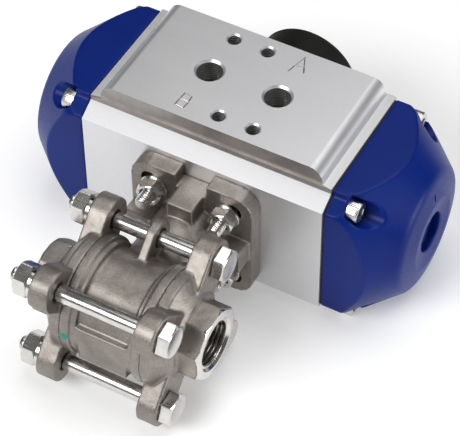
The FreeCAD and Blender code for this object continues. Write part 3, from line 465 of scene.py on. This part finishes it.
def body_bolt(y, z):
    """M6 bolt through the lugs: chamfered head with a dished top, plain shank, threaded end."""
    seat = LUG_OUTER
    top = seat + 4.0
    circle = 4.75
    turn = 8
    edge = 0.12
    shank = 2.62
    shank_end = -14.0
    side = hex_radius(M6_FLATS, turn)
    inner = lambda angle: side(angle) - edge
    rim = hex_chamfer(M6_FLATS, turn, top, 1.0, circle)
    rows = [(0.0, top - edge), (3.6, top - edge), (4.0, top - 0.02), (circle, top),
            (inner, rim), (side, lambda a: rim(a) - edge), (side, seat + 0.45),
            (inner, seat + 0.3), (4.6, seat + 0.28), (4.55, seat), (2.95, seat),
            (shank, seat - 0.4), (shank, shank_end), (2.5, shank_end - 0.5)]
    rows += thread_rows(2.42, 2.96, 1.0, shank_end - 0.6, -(seat + 8.3))
    rows += [(2.2, -(seat + 8.75)), (0.0, -(seat + 8.9))]
    return lathe_mesh("bolt", rows, 96, "x", (0.0, y, z))


def hex_nut(flats, turn, bore, start, end, axis, centre):
    """Nut with chamfered corners on both faces and a threaded bore."""
    low, high = sorted((start, end))
    side = hex_radius(flats, turn)
    inner = lambda angle: side(angle) - 0.1
    circle = flats * 0.475
    mouth = bore + 0.5
    upper = hex_chamfer(flats, turn, high, 1.0, circle)
    lower = hex_chamfer(flats, turn, low, -1.0, circle)
    rows = [(bore, high - 0.45), (mouth, high), (circle, high), (inner, upper),
            (side, lambda a: upper(a) - 0.12), (side, lambda a: lower(a) + 0.12), (inner, lower),
            (circle, low), (mouth, low), (bore, low + 0.45)]
    return lathe_mesh("nut", rows, 96, axis, centre)


def washer(inner, outer, low, high, axis, centre):
    """Flat ring with broken edges."""
    edge = 0.15
    rows = [(inner, low + edge), (inner, high - edge), (inner + edge, high), (outer - edge, high),
            (outer, high - edge), (outer, low + edge), (outer - edge, low), (inner + edge, low)]
    return lathe_mesh("washer", rows, 72, axis, centre)


def body_nut(y, z):
    inner_face = -(LUG_OUTER + 1.6)
    return hex_nut(M6_FLATS, 20, 2.98, inner_face, inner_face - 5.0, "x", (0.0, y, z))


def pad_stud(x, z):
    """M5 stud, threaded through the nut and plain inside the pad and the housing."""
    tip = PAD_FRONT - 9.2
    end = FRONT + 7.0
    rows = [(0.0, tip), (1.9, tip + 0.05)]
    rows += thread_rows(2.02, 2.46, 0.8, tip + 0.2, PAD_FRONT + 0.4)
    rows += [(2.4, PAD_FRONT + 0.8), (2.4, FRONT - 0.1), (2.05, FRONT), (2.05, end - 0.1), (0.0, end)]
    return lathe_mesh("stud", rows, 64, "y", (x, 0.0, z))


def pad_washer(x, z):
    return washer(2.55, 4.6, PAD_FRONT - 1.0, PAD_FRONT, "y", (x, 0.0, z))


def pad_nut(x, z):
    return hex_nut(M5_FLATS, 12, 2.49, PAD_FRONT - 5.0, PAD_FRONT - 1.0, "y", (x, 0.0, z))


def cover_screw(side, y, z):
    """M4 socket head cap screw with a serrated rim, threaded end left plain inside the housing."""
    seat = SCREW_SEAT * side
    top = seat + 3.9 * side
    head, shank = 3.5, 2.0
    serrated = lambda angle: head - 0.09 * (0.5 + 0.5 * math.cos(48 * angle))
    socket = hex_radius(3.0, 0)
    rows = [(0.0, top - 2.2 * side), (socket, top - 2.1 * side), (socket, top - 0.25 * side),
            (lambda a: socket(a) + 0.2, top - 0.02 * side), (3.05, top), (3.35, top - 0.12 * side),
            (serrated, top - 0.55 * side), (serrated, seat + 0.35 * side), (3.4, seat), (2.05, seat),
            (shank, seat - 0.3 * side), (shank, 30.6 * side), (0.0, 30.25 * side)]
    return lathe_mesh("screw", rows, 192, "x", (0.0, y, z))


BOLT_PLACES = [(BOLT * i, BOLT * j) for i, j in CORNERS]
PAD_PLACES = [(STUD * i, STUD * j) for i, j in CORNERS]
finish_piece("hexagon_body_bolts", [body_bolt(y, z) for y, z in BOLT_PLACES], "body_bolts")
finish_piece("hexagon_body_nuts", [body_nut(y, z) for y, z in BOLT_PLACES], "body_nuts")
finish_piece("threaded_pad_studs", [pad_stud(x, z) for x, z in PAD_PLACES], "pad_studs")
finish_piece("rounded_pad_washers", [pad_washer(x, z) for x, z in PAD_PLACES], "pad_washers")
finish_piece("hexagon_pad_nuts", [pad_nut(x, z) for x, z in PAD_PLACES], "pad_nuts")
finish_piece("socket_cover_screws",
             [cover_screw(side, y, z) for side in (1, -1) for y, z in COVER_SCREWS], "cover_screws")


# ---- castings ------------------------------------------------------------------------
def soften(obj, rounds, hold):
    """Blends the casting's edges. hold(point in mm) is True where a machined face stays crisp."""
    group = obj.vertex_groups.new(name="cast_skin")
    free = [v.index for v in obj.data.vertices if not hold(v.co / MM)]
    group.add(free, 1.0, "REPLACE")
    modifier = obj.modifiers.new("soften", "SMOOTH")
    modifier.iterations = rounds
    modifier.factor = 0.5
    modifier.vertex_group = group.name
    bake(obj)
    obj.vertex_groups.clear()


def ripple(obj, hold, size, depth):
    """The slight unevenness of a cast skin, with bumps of this size and depth in mm."""
    places = [vertex.co.copy() for vertex in obj.data.vertices]
    normals = [item.vector.copy() for item in obj.data.vertex_normals]
    moved = []
    for place, normal in zip(places, normals):
        point = place / MM
        if not hold(point):
            place += normal * noise.noise(point / size) * depth * MM
        moved.extend(place)
    obj.data.vertices.foreach_set("co", moved)
    obj.data.update()


def remeshed(name, node, voxel):
    """A piece for a CAD node, with its shape rebuilt on a grid of this many mm, to be softened."""
    obj = add_object(name, node_mesh(node), "root")
    modifier = obj.modifiers.new("grid", "REMESH")
    modifier.mode = "VOXEL"
    modifier.voxel_size = voxel * MM
    modifier.use_smooth_shade = True
    bake(obj)
    obj.data.materials.clear()
    obj.data.materials.append(MATERIALS[SLOT_OF[node]])
    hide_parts(node)
    return obj


def pipe_tool(side):
    """Cutter that leaves the G3/8 thread, its mouth chamfer, the faced end and the turned outer cone."""
    face, cone = PIPE_FACE * side, 28.2 * side
    bottom, past = 18.45 * side, 31.0 * side
    relief, outside = 7.9, 14.5
    minor, major, pitch = 7.44, 8.33, 1.337
    rows = [(0.0, bottom), (relief, bottom), (relief, 19.0 * side)]
    rows += thread_rows(minor, major, pitch, 19.2 * side, 28.6 * side, fade=0.3)
    rows += [(8.35, 28.5 * side), (8.95, face), (11.35, face), (12.75, cone), (outside, cone),
             (outside, past), (0.0, past)]
    return lathe_mesh("pipe_tool", rows, 96, "x")


def valve_end(side):
    """Cast end piece with a machined face and thread: material 1 on the face, 2 in the thread, whose
    darker colour is painted shade.
    """
    name = "right" if side > 0 else "left"
    obj = remeshed(f"cast_valve_end_{name}", f"valve_end_{name}", 0.36)

    def hold(point):
        across = math.hypot(point.y, point.z)
        return abs(point.x) > 28.0 or abs(point.x) < 14.3 or across < 7.2

    soften(obj, 9, hold)
    ripple(obj, hold, 2.6, 0.07)
    obj.data.materials.append(MACHINED)
    obj.data.materials.append(SHADED_PIPE_THREAD)
    cut(obj, [pipe_tool(side)])
    # Index 2 darkens the thread bore: painted shade.
    for face in obj.data.polygons:
        middle = face.center / MM
        across = math.hypot(middle.y, middle.z)
        if abs(middle.x) > 28.1 and abs(face.normal.x) > 0.5:
            face.material_index = 1
        elif across < 8.6:
            face.material_index = 2
    smooth_by_angle(obj, 38)


def valve_centre():
    """Cast centre body, crisp at its end faces, its pad face and the stem bore."""
    obj = remeshed("cast_valve_body", "valve_body", 0.36)

    def hold(point):
        stem = math.hypot(point.x, point.z)
        return abs(point.x) > 13.7 or point.y > FRONT - 0.3 or (stem < 9.9 and point.y > 20.0)

    soften(obj, 9, hold)
    ripple(obj, hold, 2.6, 0.07)
    smooth_by_angle(obj, 50)


for direction in (1, -1):
    valve_end(direction)
valve_centre()


# ---- actuator ------------------------------------------------------------------------
def port_tool(x, y, low, high, pitch, depth, chamfer):
    """Threaded cutter with a countersunk mouth, from the port face down."""
    top = PORT_FACE
    bottom = top - depth + 0.3
    wall = low - 0.12
    mouth = high + chamfer
    cone = top - (mouth - low)
    rows = [(0.0, bottom), (wall, bottom)]
    rows += thread_rows(wall, high, pitch, bottom + 0.3, cone - 0.1, fade=0.3)
    rows += [(low, cone), (mouth, top), (mouth, top + 1.0), (0.0, top + 1.0)]
    return lathe_mesh("port_tool", rows, 64, "z", (x, y, 0.0))


def stroke_tool(start, end):
    """A V-shaped engraved line on the port face, between two points in mm."""
    width, depth, above = 0.45, 0.18, 0.2
    a, b = Vector(start), Vector(end)
    along = (b - a).normalized()
    side = Vector((-along.y, along.x)) * width / 2
    a, b = a - along * width / 2, b + along * width / 2
    top, low = PORT_FACE + above, PORT_FACE - depth
    wide = side * (1 + above / depth)
    bm = bmesh.new()
    ring = []
    for spot in (a, b):
        ring.append([bm.verts.new((spot.x + w.x, spot.y + w.y, z)) for w, z in
                     ((wide, top), (-wide, top), (Vector((0, 0)), low))])
    bm.faces.new(ring[0])
    bm.faces.new(ring[1][::-1])
    for k in range(3):
        n = (k + 1) % 3
        bm.faces.new((ring[0][k], ring[1][k], ring[1][n], ring[0][n]))
    bmesh.ops.recalc_face_normals(bm, faces=bm.faces)
    bmesh.ops.scale(bm, vec=(MM, MM, MM), verts=bm.verts)
    mesh = bpy.data.meshes.new("stroke")
    bm.to_mesh(mesh)
    bm.free()
    return mesh


# Holes in the port face: place in X and Y, minor and major radius, pitch, depth, chamfer.
PORT_OUT, SCREW_OUT = 12.0, 16.0
G_EIGHTH = (4.28, 4.86, 0.907, 9.0, 0.12)
M5_HOLE = (2.1, 2.5, 0.8, 7.0, 0.1)
PORTS = [(PORT_OUT * i, AXIS_Y, *G_EIGHTH) for i in (1, -1)]
PORTS += [(PORT_OUT * i, AXIS_Y + SCREW_OUT * j, *M5_HOLE) for i, j in ((0, 1), (0, -1), (-1, 1), (1, -1))]
# Strokes of the port letters, each from one point in X and Y to another.
LETTER_A = (((9.7, 82.6), (11.5, 90.3)), ((11.5, 90.3), (14.3, 84.0)), ((10.4, 85.5), (13.4, 86.2)))
LETTER_B = (((-14.2, 53.0), (-13.8, 58.9)), ((-13.8, 58.9), (-11.5, 58.4)), ((-14.0, 56.0), (-11.4, 55.7)),
            ((-14.2, 53.0), (-11.5, 52.7)), ((-11.1, 58.1), (-11.0, 56.2)), ((-10.9, 55.3), (-11.1, 53.0)))


def housing_material(point):
    """Index of the material at a point in mm: 1 in the tapped holes, 2 on the milled wall in front of the
    pad and in the letters' strokes, 0 elsewhere. 1 and 2 have darker colours that are painted shade."""
    x, y, z = point
    port_distances = [(math.hypot(x - port[0], y - port[1]), port[2], port[3]) for port in PORTS]
    if z > 20.0 and any(away < high + 0.06 and z < PORT_FACE - (high - low) - 0.15
                        for away, low, high in port_distances):
        return 1
    if 26.0 < z < PORT_FACE - 0.1 and 48.4 < y < 49.4 and abs(x) < 39.0:
        return 2
    in_stroke = PORT_FACE - 0.3 < z < PORT_FACE - 0.03 and abs(x) < 15.5 and not 59 < y < 82
    return 2 if in_stroke and all(away > high + 0.3 for away, low, high in port_distances) else 0


def housing():
    """Extruded housing with its threaded ports and holes and its engraved letters."""
    obj = add_object("anodised_housing", node_mesh("actuator_housing"), "root")
    tools = [port_tool(*port) for port in PORTS]
    tools += [stroke_tool(start, end) for start, end in LETTER_A + LETTER_B]
    cut(obj, tools)
    obj.data.materials.clear()
    for material in (MATERIALS["housing_aluminium"], SHADED_HOLE_METAL, SHADED_WALL_AND_LETTERS):
        obj.data.materials.append(material)
    # Materials 1 and 2 are darker colours: painted shade in the holes and the letters, painted shade and
    # reflection on the pad wall.
    for face in obj.data.polygons:
        face.material_index = housing_material(face.center / MM)
    smooth_by_angle(obj, 30)
    add_bevel(obj, 0.18, 35)
    weight = obj.modifiers.new("flat_faces", "WEIGHTED_NORMAL")
    weight.weight = 100
    weight.keep_sharp = True
    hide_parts("actuator_housing")


housing()


def slot_tool(side):
    """A short cast-in slot above the end recess."""
    bm = bmesh.new()
    bmesh.ops.create_cube(bm, size=1.0)
    long_edges = [edge for edge in bm.edges if abs((edge.verts[0].co - edge.verts[1].co).x) > 0.5]
    bmesh.ops.bevel(bm, geom=long_edges, offset=0.2, segments=3, affect="EDGES")
    bmesh.ops.scale(bm, vec=Vector((3.0, 0.8, 2.6)) * MM, verts=bm.verts)
    bmesh.ops.rotate(bm, matrix=Matrix.Rotation(math.radians(-12 * side), 3, "X"), verts=bm.verts)
    bmesh.ops.translate(bm, vec=Vector((67.2 * side, AXIS_Y + 0.5, 15.2)) * MM, verts=bm.verts)
    mesh = bpy.data.meshes.new("slot")
    bm.to_mesh(mesh)
    bm.free()
    return mesh


def end_cover(name, side):
    """Domed cover under powder coat, which rounds every edge."""
    nowhere = lambda point: False
    obj = remeshed(f"powder_coated_{name}", name, 0.4)
    soften(obj, 3, nowhere)
    ripple(obj, nowhere, 9.0, 0.03)
    cut(obj, [slot_tool(side)])
    smooth_by_angle(obj, 50)


end_cover("end_cover_left", -1)
end_cover("end_cover_right", 1)
for node in ("position_indicator", "indicator_screw", "spring_washers", "pinion_retaining_ring"):
    add_bevel(NODES[node], 0.15, 40)


# ---- stage, light and camera ---------------------------------------------------------
def floor():
    """White studio floor just under the object, bright enough to fade into the background."""
    bm = bmesh.new()
    bmesh.ops.create_grid(bm, x_segments=2, y_segments=2, size=3.0)
    mesh = bpy.data.meshes.new("studio_floor")
    bm.to_mesh(mesh)
    bm.free()
    obj = add_object("studio_floor", mesh, body=None)
    obj.location = (0.0, 0.0, cad_low.z - 0.0002)
    surface = Surface("pale_floor", Specular_IOR_Level=0.2, Emission_Color=(1.0, 1.0, 1.0, 1.0),
                Emission_Strength=0.26)
    cloud = surface.noise(3.0, detail=2.0)
    surface.colour(surface.ramp(cloud, ((0.3, (0.87, 0.87, 0.87)), (0.7, (0.89, 0.89, 0.89)))))
    surface.roughness(surface.spread(cloud, 0.8, 0.9))
    mesh.materials.append(surface.material)


def softbox(name, place, width, height, power):
    """Rectangular lamp aimed at the middle of the object: place and size in metres, power in watts."""
    data = bpy.data.lights.new(name, "AREA")
    data.shape = "RECTANGLE"
    data.size, data.size_y = width, height
    data.energy = power
    obj = bpy.data.objects.new(name, data)
    bpy.context.scene.collection.objects.link(obj)
    obj.location = place
    aim = Vector((0.0, 0.045, 0.0)) - Vector(place)
    obj.rotation_euler = aim.to_track_quat("-Z", "Y").to_euler()


floor()
softbox("key_front_left", (-0.35, -0.75, 0.75), 0.6, 0.45, 8.5)
softbox("overhead", (0.1, 0.35, 1.1), 1.1, 0.9, 7.0)
softbox("right_fill", (0.95, 0.17, 0.14), 0.5, 0.3, 4.0)

world = bpy.data.worlds.new("studio")
world.use_nodes = True
background = world.node_tree.nodes["Background"]
background.inputs["Color"].default_value = (1.0, 1.0, 1.0, 1.0)
background.inputs["Strength"].default_value = 0.09
bpy.context.scene.world = world
bpy.context.scene.view_settings.view_transform = "Standard"


def camera():
    """Long lens above the front right corner: angles in degrees, place in mm."""
    azimuth, elevation, roll = (math.radians(angle) for angle in (29.256, 48.319, -0.537))
    place = Vector((223.243, -336.877, 493.159)) * MM
    back = Vector((math.sin(azimuth) * math.cos(elevation), -math.cos(azimuth) * math.cos(elevation),
                   math.sin(elevation)))
    level = Vector((math.cos(azimuth), math.sin(azimuth), 0.0))
    above = back.cross(level)
    right = level * math.cos(roll) + above * math.sin(roll)
    up = above * math.cos(roll) - level * math.sin(roll)
    data = bpy.data.cameras.new("camera")
    data.sensor_width = 36.0
    data.lens = 164.49
    data.clip_start, data.clip_end = 0.01, 20.0
    obj = bpy.data.objects.new("camera", data)
    bpy.context.scene.collection.objects.link(obj)
    matrix = Matrix((right, up, back)).transposed().to_4x4()
    matrix.translation = place
    obj.matrix_world = matrix
    bpy.context.scene.camera = obj


camera()
